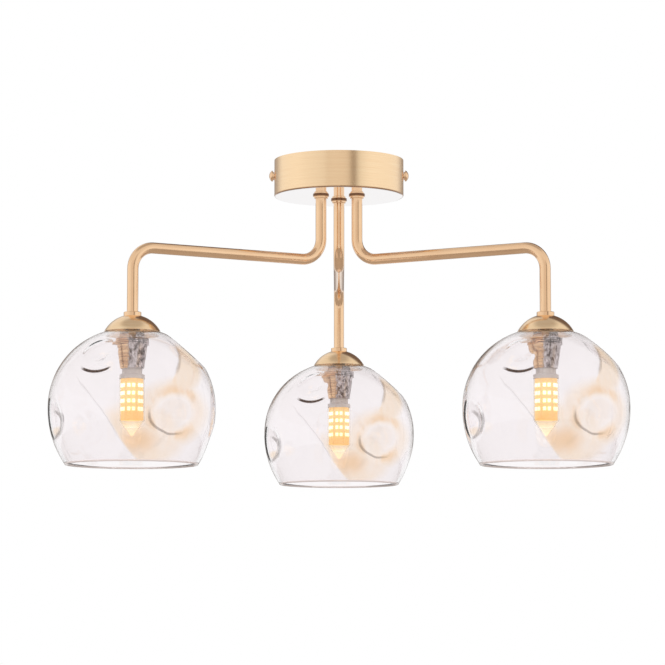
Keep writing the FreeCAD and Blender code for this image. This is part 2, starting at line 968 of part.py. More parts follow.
def lampholder_insert(arm, azimuth):
    radius = cell("insert_diameter") / 2
    soft = cell("insert_edge")
    body = turned(
        "lampholder_insert_" + arm,
        [
            (0, insert_face),
            (radius - soft, insert_face),
            (radius, insert_face + soft),
            (radius, cup_ceiling),
            (0, cup_ceiling),
        ],
    )
    gap = 2 * cell("loose_fit")
    slots = pin_sketch(body, insert_face, cell("pin_width") + gap, cell("pin_thick") + gap)
    pocket(body, slots, cell("pin_slot_depth"), flip=True)
    on_drop(body, azimuth)


def bulb_base(arm, azimuth):
    neck = cell("bulb_neck") / 2
    wide = cell("bulb_diameter") / 2
    soft = cell("bulb_edge")
    body = turned(
        "bulb_base_" + arm,
        [
            (0, bulb_top),
            (0, lit_top),
            (wide, lit_top),
            (wide, collar_top - soft),
            (wide - soft, collar_top),
            (neck, collar_top),
            (neck, bulb_top - soft),
            (neck - soft, bulb_top),
        ],
    )
    pins = pin_sketch(body, bulb_top, cell("pin_width"), cell("pin_thick"))
    pad(body, pins, cell("pin_length"))
    on_drop(body, azimuth)


def bulb_board(arm, azimuth):
    """Six-sided circuit board column with one flat to the front."""
    body = new_body("bulb_board_" + arm)
    sketch = new_sketch(body, "XY_Plane", lit_bottom)
    corner = cell("board_flats") / 2 / cosine(180 / BOARD_SIDES)
    step = 360 / BOARD_SIDES
    turns = [step * side for side in range(BOARD_SIDES)]
    outline(sketch, [(corner * cosine(turn), corner * sine(turn)) for turn in turns])
    pad(body, sketch, cell("bulb_lit_length"))
    on_drop(body, azimuth)


def bulb_leds(arm, azimuth):
    """Two columns of chips on each flat of the board, as one group of separate solids."""
    chips = []
    face = cell("board_flats").value / 2
    wide, tall, thick = (cell(name).value for name in ("led_width", "led_height", "led_thick"))
    for side in range(BOARD_SIDES):
        for row in range(LED_ROWS):
            level = lit_top.value - cell("led_first_row").value - row * cell("led_row_pitch").value
            for column in SIDES.values():
                across = column * cell("led_column_offset").value - wide / 2
                corner = Vector(across, -face - thick, level - tall / 2)
                chip = Part.makeBox(wide, thick, tall, corner)
                chip.rotate(Vector(), Vector(0, 0, 1), side * 360 / BOARD_SIDES)
                chips.append(chip)
    leds = doc.addObject("Part::Feature", "bulb_leds_" + arm)
    leds.Label = "bulb_leds_" + arm
    leds.Shape = Part.makeCompound(chips)
    on_drop(leds, azimuth)


def bulb_cover(arm, azimuth):
    """Clear sleeve with a tapered shoulder and a candle tip."""
    wide = cell("bulb_diameter") / 2
    shoulder = cell("bulb_shoulder") / 2
    wall = cell("bulb_wall")
    low = lit_bottom - cell("bulb_taper")
    tip = low - cell("bulb_tip")
    body = turned(
        "bulb_cover_" + arm,
        [
            (wide - wall, lit_top),
            (wide - wall, lit_bottom),
            (shoulder - wall, low + wall),
            (0, low + wall),
            (0, tip),
            (cell("bulb_point"), tip),
            (shoulder, low),
            (wide, lit_bottom),
            (wide, lit_top),
        ],
    )
    on_drop(body, azimuth)


# ---------------------------------------------------------------- assembly

ceiling_bracket()
terminal_block()
earth_screw()
canopy()
for side, sign in SIDES.items():
    side_screw(side, sign)
shade_shape = glass_shape()
for arm, azimuth in ARM_ANGLES.items():
    arm_tube(arm, azimuth)
    arm_wires(arm, azimuth)
    top_fittings(arm, azimuth)
    low_fittings(arm, azimuth)
    glass_shade(arm, azimuth, shade_shape)
    holder_cup(arm, azimuth)
    lampholder_insert(arm, azimuth)
    bulb_base(arm, azimuth)
    bulb_board(arm, azimuth)
    bulb_leds(arm, azimuth)
    bulb_cover(arm, azimuth)
doc.recompute()

for item in doc.Objects:
    failed = [state for state in item.State if state in ("Invalid", "Error")]
    if failed:
        raise RuntimeError("%s is %s" % (item.Label, failed))
nodes = [item for item in doc.Objects if item.TypeId in ("PartDesign::Body", "Part::Feature")]
for node in nodes:
    if node.Shape.isNull() or not node.Shape.isValid():
        raise RuntimeError(node.Label + " has no valid shape")

os.makedirs("parts", exist_ok=True)
for node in nodes:
    node.Shape.exportStep(os.path.join("parts", node.Label + ".step"))
print(len(nodes), "nodes")
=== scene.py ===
import math

import bpy
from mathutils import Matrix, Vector


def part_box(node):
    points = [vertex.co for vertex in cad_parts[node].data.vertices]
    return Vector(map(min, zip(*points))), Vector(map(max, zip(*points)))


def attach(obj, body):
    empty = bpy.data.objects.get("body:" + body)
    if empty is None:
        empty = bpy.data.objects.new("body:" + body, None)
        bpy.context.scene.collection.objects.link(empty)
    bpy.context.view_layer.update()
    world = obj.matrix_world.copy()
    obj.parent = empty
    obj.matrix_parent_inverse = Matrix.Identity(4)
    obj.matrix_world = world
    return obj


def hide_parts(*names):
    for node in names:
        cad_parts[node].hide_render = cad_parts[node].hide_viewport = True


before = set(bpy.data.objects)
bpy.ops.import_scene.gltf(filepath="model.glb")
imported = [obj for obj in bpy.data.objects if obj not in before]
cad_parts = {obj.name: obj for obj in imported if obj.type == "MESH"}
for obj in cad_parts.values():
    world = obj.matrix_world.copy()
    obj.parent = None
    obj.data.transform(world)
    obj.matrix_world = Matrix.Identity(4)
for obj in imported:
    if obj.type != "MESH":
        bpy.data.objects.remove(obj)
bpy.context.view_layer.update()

MM = 0.001
ARM_ANGLES = {"left": 210, "right": 330, "back": 90}
ARM_REACH = 212 * MM
DOME_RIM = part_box("dome_cap_left")[0].z

# The glass follows the same formula as its solid, with a finer mesh.
GLASS_RADIUS = 74.2 * MM
GLASS_CROWN = 71.4 * MM
GLASS_BOWL = 80 * MM
GLASS_FULLNESS = 2.05
GLASS_DEPTH = 119.3 * MM
GLASS_WALL = 2.8 * MM
GLASS_LIP = 57 * MM
GLASS_HOLE = 12 * MM
LIP_SHARPNESS = 40
DOME_MOUTH = 24 * MM
SEAT_GAP = 0.3 * MM
GLASS_ROWS = 120
GLASS_COLUMNS = 216
EDGE_STEPS = 7

# Dents: bearing from the front, then shares of the glass's radius: the centre's height below the
# dome's rim, the dent's radius and its depth.
DENTS = [
    (35, 1.12, 0.285, 0.115),
    (-68, 1.08, 0.27, 0.115),
    (-27, 0.30, 0.23, 0.075),
    (88, 0.20, 0.34, 0.075),
    (98, 1.33, 0.255, 0.047),
    (152, 0.89, 0.31, 0.095),
    (-140, 1.10, 0.285, 0.09),
    (-158, 0.38, 0.27, 0.075),
]


def srgb(red, green, blue):
    """Linear colour of an 8-bit screen colour."""
    return tuple(
        value / 12.92 if value <= 0.04045 else ((value + 0.055) / 1.055) ** 2.4
        for value in (red / 255, green / 255, blue / 255)
    )


# ---------------------------------------------------------------- material helpers


class Graph:
    """A node tree whose nodes are made and linked in one line each."""

    def __init__(self, tree):
        self.tree = tree

    def node(self, kind, **settings):
        made = self.tree.nodes.new("ShaderNode" + kind)
        for key, value in settings.items():
            setattr(made, key, value)
        return made

    def link(self, source, target):
        self.tree.links.new(source, target)

    def math(self, operation, *values):
        made = self.node("Math", operation=operation)
        for socket, value in zip(made.inputs, values):
            if isinstance(value, (int, float)):
                socket.default_value = value
            else:
                self.link(value, socket)
        return made.outputs["Value"]

    def axis(self, vector, name):
        made = self.node("SeparateXYZ")
        self.link(vector, made.inputs["Vector"])
        return made.outputs[name]

    def ramp(self, factor, stops):
        """Colour of a factor from 0 to 1, from (place, colour) stops."""
        made = self.node("ValToRGB")
        points = made.color_ramp.elements
        while len(points) < len(stops):
            points.new(0.5)
        for point, (place, color) in zip(points, stops):
            point.position = place
            point.color = (*color, 1)
        self.link(factor, made.inputs["Fac"])
        return made.outputs["Color"]

    def spread(self, factor, low, high, start=0.3, end=0.7):
        """From low where the factor is at start to high where it is at end."""
        made = self.node("MapRange")
        made.inputs["From Min"].default_value = start
        made.inputs["From Max"].default_value = end
        made.inputs["To Min"].default_value = low
        made.inputs["To Max"].default_value = high
        self.link(factor, made.inputs["Value"])
        return made.outputs["Result"]

    def blend(self, mask, below, above):
        """Colour above laid over colour below where the mask is 1."""
        made = self.node("Mix", data_type="RGBA")
        self.link(mask, made.inputs["Factor"])
        for socket, color in ((made.inputs["A"], below), (made.inputs["B"], above)):
            if isinstance(color, tuple):
                socket.default_value = (*color, 1)
            else:
                self.link(color, socket)
        return made.outputs["Result"]


class Surface(Graph):
    """A material with one Principled shader."""

    def __init__(self, name):
        self.material = bpy.data.materials.new(name)
        self.material.use_nodes = True
        super().__init__(self.material.node_tree)
        self.shader = self.tree.nodes["Principled BSDF"]
        self.output = self.tree.nodes["Material Output"]

    def set(self, **values):
        for key, value in values.items():
            self.shader.inputs[key.replace("_", " ")].default_value = value

    def feed(self, source, name):
        self.link(source, self.shader.inputs[name])

    def places(self, scale=(1, 1, 1), centre=(0, 0, 0)):
        """Object coordinates in metres, moved to a centre and stretched."""
        made = self.node("Mapping")
        made.inputs["Location"].default_value = [-at * by for at, by in zip(centre, scale)]
        made.inputs["Scale"].default_value = scale
        self.link(self.node("TexCoord").outputs["Object"], made.inputs["Vector"])
        return made.outputs["Vector"]

    def level(self):
        """Height in metres, below 0 under the ceiling."""
        return self.axis(self.places(), "Z")

    def share(self, name):
        """Place along one axis of the piece's own box, from 0 to 1."""
        return self.axis(self.node("TexCoord").outputs["Generated"], name)

    def noise(self, vector, scale, detail=3, roughness=0.5):
        made = self.node("TexNoise")
        made.inputs["Scale"].default_value = scale
        made.inputs["Detail"].default_value = detail
        made.inputs["Roughness"].default_value = roughness
        self.link(vector, made.inputs["Vector"])
        return made.outputs["Fac"]

    def distance(self, vector, centre, radii):
        """How far a place lies from a centre, in radii: 1 on the ellipsoid's surface."""
        made = self.node("Mapping")
        made.inputs["Location"].default_value = [-at / by for at, by in zip(centre, radii)]
        made.inputs["Scale"].default_value = [1 / by for by in radii]
        self.link(vector, made.inputs["Vector"])
        length = self.node("VectorMath", operation="LENGTH")
        self.link(made.outputs["Vector"], length.inputs[0])
        return length.outputs["Value"]

    def fade(self, value, full, none):
        """1 where the value is at full, 0 where it is at none, and smooth between."""
        made = self.node("MapRange", interpolation_type="SMOOTHSTEP")
        made.inputs["From Min"].default_value = none
        made.inputs["From Max"].default_value = full
        self.link(value, made.inputs["Value"])
        return made.outputs["Result"]

    def patch(self, vector, centre, radii, soft):
        """1 inside an ellipsoid, with a soft edge within its surface."""
        return self.fade(self.distance(vector, centre, radii), 1 - soft, 1)

    def line(self, value, half, soft):
        """1 where the value is 1, as a thin line."""
        off = self.math("ABSOLUTE", self.math("SUBTRACT", value, 1))
        return self.fade(off, half, soft)

    def product(self, *factors):
        result = factors[0]
        for factor in factors[1:]:
            result = self.math("MULTIPLY", result, factor)
        return result

    def largest(self, *masks):
        result = masks[0]
        for mask in masks[1:]:
            result = self.math("MAXIMUM", result, mask)
        return result

    def bump(self, height, strength, distance):
        made = self.node("Bump")
        made.inputs["Strength"].default_value = strength
        made.inputs["Distance"].default_value = distance
        self.link(height, made.inputs["Height"])
        self.feed(made.outputs["Normal"], "Normal")


# ---------------------------------------------------------------- brass

BRASS = srgb(252, 220, 178)
BRASS_LIGHT = srgb(255, 227, 187)
BRASS_DARK = srgb(249, 214, 171)
# Painted shade on the collars and along the canopy's bottom edge, and the canopy's plate painted
# near-white as a reflection of a bright floor:
BRASS_SHADED = srgb(120, 84, 58)
BRASS_EDGE_SHADE = srgb(188, 148, 114)
PLATE_REFLECTION = srgb(254, 251, 251)
STREAK_TONES = [(0.3, BRASS_DARK), (0.5, BRASS), (0.72, BRASS_LIGHT)]
TUBE_TONES = [
    (0.3, srgb(242, 201, 160)),
    (0.5, srgb(245, 206, 165)),
    (0.72, srgb(248, 210, 170)),
]
CUP_TONES = [
    (0.38, srgb(166, 126, 96)),
    (0.5, srgb(228, 188, 148)),
    (0.64, srgb(248, 214, 172)),
]
# Tones of the cup's painted grey reflection.
GREY_REFLECTION_TONES = [
    (0.4, srgb(84, 68, 60)),
    (0.48, srgb(170, 160, 158)),
    (0.64, srgb(226, 219, 219)),
]
GRAIN_DEPTH = 0.1 * MM
CLOUD_SCALE = 22
ROUGHNESS_SWING = 0.03

# Heights at which a colour is full and at which it is gone.
PLATE_LEVELS = (-33.9 * MM, -33.7 * MM)
EDGE_SHADE_LEVELS = (-33.2 * MM, -32.2 * MM)
COLLAR_LEVELS = (-35.0 * MM, -35.2 * MM)
PLATE_POLISH = -0.19


def brushed(name, grain, roughness, strength):
    """Brushed, lacquered brass: the brushing runs along the directions left small in grain."""
    surface = Surface(name)
    streaks = surface.noise(surface.places(grain), 1, 4, 0.6)
    cloud = surface.noise(surface.places(), CLOUD_SCALE, 2)
    rough = surface.spread(cloud, roughness - ROUGHNESS_SWING, roughness + ROUGHNESS_SWING)
    surface.feed(rough, "Roughness")
    surface.bump(streaks, strength, GRAIN_DEPTH)
    surface.set(Metallic=1.0, Coat_Weight=0.25, Coat_Roughness=0.08)
    return surface, streaks, rough


def brass(name, grain, roughness, strength, tones):
    surface, streaks, _ = brushed(name, grain, roughness, strength)
    surface.feed(surface.ramp(streaks, tones), "Base Color")
    return surface.material


def canopy_brass(name):
    """Satin brass round the side, with a painted dark line of shade along its bottom edge, and a
    polished plate below painted near-white as a reflection of a bright floor.
    """
    surface, streaks, rough = brushed(name, (25, 25, 2600), 0.24, 0.03)
    # Painted reflection: the plate below is near-white, for a bright floor mirrored in it.
    below = surface.fade(surface.level(), *PLATE_LEVELS)
    # Painted shade: a dark line along the bottom edge of the side.
    edge = surface.fade(surface.level(), *EDGE_SHADE_LEVELS)
    tones = surface.blend(edge, surface.ramp(streaks, STREAK_TONES), BRASS_EDGE_SHADE)
    surface.feed(surface.blend(below, tones, PLATE_REFLECTION), "Base Color")
    polish = surface.product(below, PLATE_POLISH)
    surface.feed(surface.math("ADD", rough, polish), "Roughness")
    return surface.material


def collar_brass(name):
    """Brass with painted shade: a dark line where the collar meets the canopy."""
    surface, streaks, _ = brushed(name, (30, 30, 30), 0.16, 0.01)
    # Painted shade along the collar's top, under the canopy.
    above = surface.fade(surface.level(), *COLLAR_LEVELS)
    tones = surface.ramp(streaks, TUBE_TONES)
    surface.feed(surface.blend(above, tones, BRASS_SHADED), "Base Color")
    return surface.material


def cup_metal(name):
    """Brass with a mottled silver grey painted away from its left side, a painted reflection seen
    through the glass.
    """
    surface, streaks, _ = brushed(name, (60, 60, 2600), 0.26, 0.1)
    blotches = surface.noise(surface.places((1, 1, 0.6)), 320, 5, 0.65)
    edge = surface.math("ADD", surface.share("X"), surface.product(blotches, 0.3))
    # Painted reflection: mottled grey away from the left side.
    reflected_grey = surface.fade(edge, 0.6, 0.52)
    tones = surface.ramp(streaks, CUP_TONES)
    surface.feed(surface.blend(reflected_grey, tones, surface.ramp(blotches, GREY_REFLECTION_TONES)), "Base Color")
    return surface.material


# ---------------------------------------------------------------- plastics and lamps

SLEEVE_TIP_LEVELS = (-262.5 * MM, -250.5 * MM)
SLEEVE_TIP_GLOW = 0.2
SLEEVE_GLOW_TONE = srgb(255, 240, 204)
SLEEVE_TONES = [(0.35, srgb(253, 250, 244)), (0.65, srgb(255, 250, 236))]


def plain(name, color, dark, roughness, metallic=0.0):
    """A fine-grained surface: moulded plastic, ceramic, zinc or silicone."""
    surface = Surface(name)
    grain = surface.noise(surface.places(), 900, 3)
    cloud = surface.noise(surface.places(), 75, 2)
    surface.feed(surface.ramp(cloud, [(0.3, dark), (0.7, color)]), "Base Color")
    surface.feed(surface.spread(grain, roughness - 0.06, roughness + 0.06), "Roughness")
    surface.bump(grain, 0.1, GRAIN_DEPTH)
    surface.set(Metallic=metallic)
    return surface.material


def glowing(name, color, glow, strength):
    surface = Surface(name)
    cloud = surface.noise(surface.places(), 600, 2)
    surface.feed(surface.ramp(cloud, [(0.3, color), (0.7, glow)]), "Base Color")
    surface.feed(surface.ramp(cloud, [(0.2, color), (0.6, glow)]), "Emission Color")
    surface.set(Emission_Strength=strength, Roughness=0.5)
    return surface.material


def clear_sleeve(name):
    """Thin clear plastic with a faint ripple, and a painted glow in its tip standing in for the
    light it gathers there.
    """
    surface = Surface(name)
    cloud = surface.noise(surface.places(), 90, 2)
    surface.feed(surface.ramp(cloud, SLEEVE_TONES), "Base Color")
    surface.bump(cloud, 0.1, 0.4 * MM)
    # Painted glow in the tip.
    tip = surface.fade(surface.level(), *SLEEVE_TIP_LEVELS)
    surface.feed(surface.product(tip, SLEEVE_TIP_GLOW), "Emission Strength")
    surface.set(Roughness=0.02, IOR=1.12, Transmission_Weight=1.0)
    surface.set(Emission_Color=(*SLEEVE_GLOW_TONE, 1))
    return surface.material


# ---------------------------------------------------------------- glass with painted reflections

GLASS_CLEAR = srgb(252, 249, 250)
GLASS_BODY = srgb(226, 220, 222)
GLASS_DENSITY = 5
# Colours of the painted amber reflections and of the painted brown refraction streak and lines:
AMBER_REFLECTION = srgb(250, 230, 206)
DEEP_AMBER_REFLECTION = srgb(245, 211, 174)
SHOULDER_REFRACTION_BROWN = srgb(132, 100, 78)
REFRACTION_LINE_BROWN = srgb(74, 52, 40)
RIM_PALE = srgb(240, 226, 222)
RIM_TRANSMISSION = 0.3

# The marks in the glass, which are painted amber reflections and painted dark lines of refraction
# and reflection, in millimetres from the middle of the dome's rim: x to the right, y to the back
# and z up.
# Each ellipsoid has a centre and radii; ANY_DEPTH makes it a cylinder along y.
ANY_DEPTH = 900
POOL = ((9, -52, -95), (46, 50, 36))
POOL_CORE = ((10, -52, -100), (22, 40, 17))
CRESCENT = ((46, -40, -38), (20, 40, 32))
HEEL = ((-66, -26, -91), (8, 20, 7))
LENS = ((39, -54, -76), (22.5, 34, 18.5))
LENS_LIP = ((28, -54, -88), (24, 60, 17))
BUBBLE = ((18, -58, -30), (27, 60, 32))
BUBBLE_VEIN = ((46, -50, -28), (18, 50, 18))
BROW_UNDER = ((-27.3, 0, -19.2), (23.6, ANY_DEPTH, 23.6))
BROW_OVER = ((-26.6, 0, -16.8), (23.2, ANY_DEPTH, 23.2))
BROW = ((-27, -60, -42), (16, 50, 12))
CURL_CIRCLE = ((-72, 0, -84.5), (13.6, ANY_DEPTH, 13.6))
CURL = ((-61, -38, -85), (14, 40, 20))
CREASE = ((-24, -55, -74), (36, 60, 44))
SHOULDER = ((-54, -13, -28), (32, 10, 36))
RIM_LEVELS = (-117.6, -116.8)
FRONT_DEPTHS = (-12, 2)

# The fold's straight line, where the painted amber reflection stops and a painted dark line runs:
# the direction across it and its offset along that direction.
FOLD_ACROSS = 0.813
FOLD_UP = 0.5825
FOLD_OFFSET = 43 * FOLD_ACROSS + 46 * FOLD_UP

# How far the marks wander from their plain outlines, and on what scale.
STIR_REACH = 3.5
STIR_SCALE = 0.035


def stirred(surface, place):
    """The places moved about a little, so that the marks run like molten glass."""
    waves = surface.noise(place, STIR_SCALE, 2)
    moved = surface.node("VectorMath", operation="MULTIPLY_ADD")
    moved.inputs[1].default_value = (2 * STIR_REACH,) * 3
    surface.link(waves.node.outputs["Color"], moved.inputs[0])
    surface.link(place, moved.inputs[2])
    centred = surface.node("VectorMath", operation="SUBTRACT")
    centred.inputs[1].default_value = (STIR_REACH,) * 3
    surface.link(moved.outputs["Vector"], centred.inputs[0])
    return centred.outputs["Vector"]


def amber_reflection_masks(surface, spot, fold, lens, bubble):
    """Where the glass is painted with amber reflections, and where the painted amber is deep."""
    streaks = surface.noise(surface.places((60, 60, 26), (0.02, 0, 0.02)), 1, 3, 0.6)
    right_of_fold = surface.fade(fold, 2.0, -0.6)
    pool = surface.product(surface.patch(spot, *POOL, 0.4), right_of_fold)
    around = surface.product(surface.fade(lens, 1.1, 1.75), surface.fade(lens, 1.0, 0.5))
    outside = surface.fade(bubble, 1.02, 0.94)
    amber = surface.largest(
        surface.product(pool, 0.8),
        surface.product(around, 0.85),
        surface.product(surface.patch(spot, *CRESCENT, 0.4), outside),
        surface.product(surface.patch(spot, *HEEL, 0.6), 0.8),
        surface.product(surface.fade(lens, 0.5, 1.0), 0.35),
    )
    core = surface.product(surface.patch(spot, *POOL_CORE, 0.8), right_of_fold)
    swirl = surface.product(
        surface.fade(lens, 1.0, 1.35),
        surface.fade(lens, 0.98, 0.8),
        surface.spread(streaks, 0.1, 1.0, 0.42, 0.56),
    )
    deep = surface.largest(core, surface.product(swirl, 0.7))
    return surface.product(amber, surface.spread(streaks, 0.55, 1.0, 0.35, 0.6)), deep


def refraction_line_mask(surface, place, spot, fold, lens, bubble):
    """The painted thin dark lines of refraction and reflection: brow, fold, lip under the lens,
    curl at the left and vein.
    """
    brow = surface.product(
        surface.fade(surface.distance(place, *BROW_UNDER), 0.985, 1.015),
        surface.fade(surface.distance(place, *BROW_OVER), 1.035, 1.0),
        surface.patch(place, *BROW, 0.35),
    )
    crease = surface.product(
        surface.fade(surface.math("ABSOLUTE", fold), 0.1, 1.0),
        surface.patch(spot, *CREASE, 0.5),
    )
    lip = surface.product(
        surface.line(lens, 0.02, 0.08),
        surface.patch(place, *LENS_LIP, 0.45),
    )
    curl = surface.product(
        surface.line(surface.distance(place, *CURL_CIRCLE), 0.03, 0.11),
        surface.patch(place, *CURL, 0.3),
    )
    vein = surface.product(
        surface.line(bubble, 0.02, 0.08),
        surface.patch(place, *BUBBLE_VEIN, 0.5),
    )
    return surface.largest(
        brow,
        surface.product(crease, 0.18),
        surface.product(lip, 0.5),
        surface.product(curl, 0.6),
        surface.product(vein, 0.35),
    )


def shoulder_refraction_mask(surface, place, spot):
    """The painted brown streak of refraction along the outline of the left shoulder."""
    outline = (GLASS_RADIUS / MM, ANY_DEPTH, GLASS_CROWN / MM)
    return surface.product(
        surface.fade(surface.distance(place, (0, 0, GLASS_CENTRE / MM), outline), 0.95, 0.92),
        surface.patch(spot, *SHOULDER, 0.7),
    )


def lustre_glass(name):
    """Clear pressed glass, with painted amber reflections towards its right, a painted brown
    refraction streak on its left shoulder and painted dark refraction lines.
    """
    surface = Surface(name)
    place = surface.places((1 / MM,) * 3)
    spot = stirred(surface, place)
    slope = surface.math("MULTIPLY_ADD", surface.axis(spot, "X"), FOLD_ACROSS, FOLD_OFFSET)
    fold = surface.math("MULTIPLY_ADD", surface.axis(spot, "Z"), FOLD_UP, slope)
    front = surface.fade(surface.axis(spot, "Y"), *FRONT_DEPTHS)
    lens = surface.distance(spot, *LENS)
    bubble = surface.distance(spot, *BUBBLE)
    amber, deep = amber_reflection_masks(surface, spot, fold, lens, bubble)
    lines = refraction_line_mask(surface, place, spot, fold, lens, bubble)
    rim = surface.fade(surface.axis(place, "Z"), *RIM_LEVELS)

    # Painted amber reflections over the clear glass.
    color = surface.blend(surface.product(amber, front), GLASS_CLEAR, AMBER_REFLECTION)
    color = surface.blend(surface.product(deep, front), color, DEEP_AMBER_REFLECTION)
    # Painted brown streak of refraction along the left shoulder's outline.
    color = surface.blend(shoulder_refraction_mask(surface, place, spot), color, SHOULDER_REFRACTION_BROWN)
    # Painted dark lines of refraction and reflection.
    color = surface.blend(surface.product(lines, front), color, REFRACTION_LINE_BROWN)
    color = surface.blend(rim, color, RIM_PALE)
    surface.feed(color, "Base Color")
    surface.feed(surface.spread(rim, 1.0, RIM_TRANSMISSION, 0, 1), "Transmission Weight")
    surface.bump(surface.noise(surface.places(), 34, 2), 0.2, 0.8 * MM)
    surface.set(Roughness=0.0, IOR=1.5)
    body = surface.node("VolumeAbsorption")
    body.inputs["Color"].default_value = (*GLASS_BODY, 1)
    body.inputs["Density"].default_value = GLASS_DENSITY
    surface.link(body.outputs["Volume"], surface.output.inputs["Volume"])
    return surface.material


# ---------------------------------------------------------------- dimpled glass


def crown_rise(radius):
    """Height of the undented outer face over its widest place, at a radius near the crown."""
    return GLASS_CROWN * (1 - (radius / GLASS_RADIUS) ** GLASS_FULLNESS) ** (1 / GLASS_FULLNESS)


GLASS_CENTRE = -SEAT_GAP - crown_rise(DOME_MOUTH)


def glass_profile(turn):
    """Radius and height of the undented outer face at an angle from the crown."""
    across = abs(math.sin(turn))
    along = math.cos(turn)
    height = GLASS_CROWN if along > 0 else GLASS_BOWL
    reach = (across / GLASS_RADIUS) ** GLASS_FULLNESS + (abs(along) / height) ** GLASS_FULLNESS
    reach = reach ** (-1 / GLASS_FULLNESS)
    radius = reach * across
    if along < 0:
        ratio = GLASS_LIP / radius
        radius = radius * (1 + ratio**LIP_SHARPNESS) ** (1 / LIP_SHARPNESS)
    return radius, GLASS_CENTRE + reach * along


def solve(low, high, above):
    """The value between low and high from which above is true."""
    for _ in range(50):
        middle = (low + high) / 2
        if above(middle):
            high = middle
        else:
            low = middle
    return low


def placed_dents():
    """Each dent's centre on the undented outer face, its radius and its depth, in metres."""
    placed = []
    for bearing, below, radius, depth in DENTS:
        level = -below * GLASS_RADIUS
        turn = solve(0.05, 3, lambda angle: glass_profile(angle)[1] < level)
        out = glass_profile(turn)[0]
        angle = math.radians(bearing - 90)
        centre = Vector((out * math.cos(angle), out * math.sin(angle), level))
        placed.append((centre, radius * GLASS_RADIUS, depth * GLASS_RADIUS))
    return placed


def dent_depth(spot, dents):
    depth = 0
    for centre, radius, deep in dents:
        share = (spot - centre).length / radius
        if share < 1:
            depth += deep * (1 - share**2) ** 2
    return depth


def glass_mesh():
    """One closed wall: outer face, rim, inner face and hole, as rings of the same length."""
    dents = placed_dents()
    hole = (GLASS_HOLE + GLASS_WALL) / 2
    first = solve(0, 1, lambda turn: glass_profile(turn)[0] > hole)
    bottom = GLASS_WALL / 2 - GLASS_DEPTH
    last = solve(math.pi / 2, 3, lambda turn: glass_profile(turn)[1] < bottom)
    nudge = 0.0001
    outer, inner = [], []
    for row in range(GLASS_ROWS):
        turn = first + (last - first) * row / (GLASS_ROWS - 1)
        radius, height = glass_profile(turn)
        after = Vector(glass_profile(turn + nudge))
        along = (after - Vector(glass_profile(turn - nudge))).normalized()
        outer.append([])
        inner.append([])
        for column in range(GLASS_COLUMNS):
            angle = 2 * math.pi * column / GLASS_COLUMNS
            outward = Vector((math.cos(angle), math.sin(angle), 0))
            spot = outward * radius + Vector((0, 0, height))
            normal = outward * -along.y + Vector((0, 0, along.x))
            face = spot - normal * dent_depth(spot, dents)
            outer[-1].append(face)
            inner[-1].append(face - normal * GLASS_WALL)
    rim = rounded(outer[-1], inner[-1], lambda spot: Vector((0, 0, -1)))
    edge = rounded(inner[0], outer[0], lambda spot: Vector((-spot.x, -spot.y, 0)).normalized())
    rings = outer + rim + inner[::-1] + edge
    faces = []
    for ring in range(len(rings)):
        below = (ring + 1) % len(rings)
        for column in range(GLASS_COLUMNS):
            beside = (column + 1) % GLASS_COLUMNS
            corners = ((ring, column), (below, column), (below, beside), (ring, beside))
            faces.append([row * GLASS_COLUMNS + place for row, place in corners])
    mesh = bpy.data.meshes.new("dimpled_glass")
    mesh.from_pydata([spot for ring in rings for spot in ring], [], faces)
    mesh.shade_smooth()
    return mesh


def rounded(start, end, away):
    """Half-round rows from one face's edge to the other, bulging the way that away says."""
    rows = []
    for step in range(1, EDGE_STEPS):
        swing = math.pi * step / EDGE_STEPS
        row = []
        for one, other in zip(start, end):
            middle = (one + other) / 2
            arm = (one - other) / 2
            bulge = away(one) * arm.length * math.sin(swing)
            row.append(middle + arm * math.cos(swing) + bulge)
        rows.append(row)
    return rows


def shade_place(arm):
    azimuth = math.radians(ARM_ANGLES[arm])
    return Vector((ARM_REACH * math.cos(azimuth), ARM_REACH * math.sin(azimuth), DOME_RIM))


def make_shades(material):
    mesh = glass_mesh()
    mesh.materials.append(material)
    for arm in ARM_ANGLES:
        shade = bpy.data.objects.new("dimpled_shade_" + arm, mesh)
        bpy.context.scene.collection.objects.link(shade)
        shade.location = shade_place(arm)
        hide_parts("glass_shade_" + arm)
        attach(shade, "shade_" + arm)


# ---------------------------------------------------------------- stage

# The room's colour round from the back by the left, the front and the right, above the horizon.
ROOM_AROUND = [
    (0.0, (0.3, 0.26, 0.24)),
    (0.1, (0.5, 0.46, 0.43)),
    (0.16, (0.96, 0.96, 0.96)),
    (0.28, (1.0, 1.0, 1.0)),
    (0.43, (0.85, 0.84, 0.83)),
    (0.446, (0.72, 0.67, 0.63)),
    (0.46, (0.8, 0.76, 0.73)),
    (0.55, (0.78, 0.73, 0.69)),
    (0.566, (0.22, 0.17, 0.14)),
    (0.58, (0.22, 0.17, 0.14)),
    (0.596, (0.84, 0.84, 0.83)),
    (0.66, (1.0, 1.0, 1.0)),
    (0.85, (0.96, 0.96, 0.96)),
    (0.91, (0.5, 0.46, 0.43)),
    (1.0, (0.3, 0.26, 0.24)),
]
# The room's shade from straight down to straight up.
ROOM_ABOVE = [
    (0.0, (0.6, 0.6, 0.6)),
    (0.3, (0.95, 0.95, 0.95)),
    (0.6, (1.0, 1.0, 1.0)),
    (0.92, (0.9, 0.9, 0.9)),
    (0.97, (0.55, 0.53, 0.52)),
    (1.0, (0.55, 0.53, 0.52)),
]
ROOM_BELOW = (0.95, 0.95, 0.95)
ROOM_LOFT = (0.92, 0.9, 0.88)
LOFT_LEVELS = (0.3, 0.55)

# A dark beam high up at the back, which the domes mirror on their right shoulders.
BEAM_TOWARDS = (0.3, 0.75, 0.59)
BEAM_TONE = (0.17, 0.12, 0.1)
BEAM_EDGE = (0.36, 0.52)

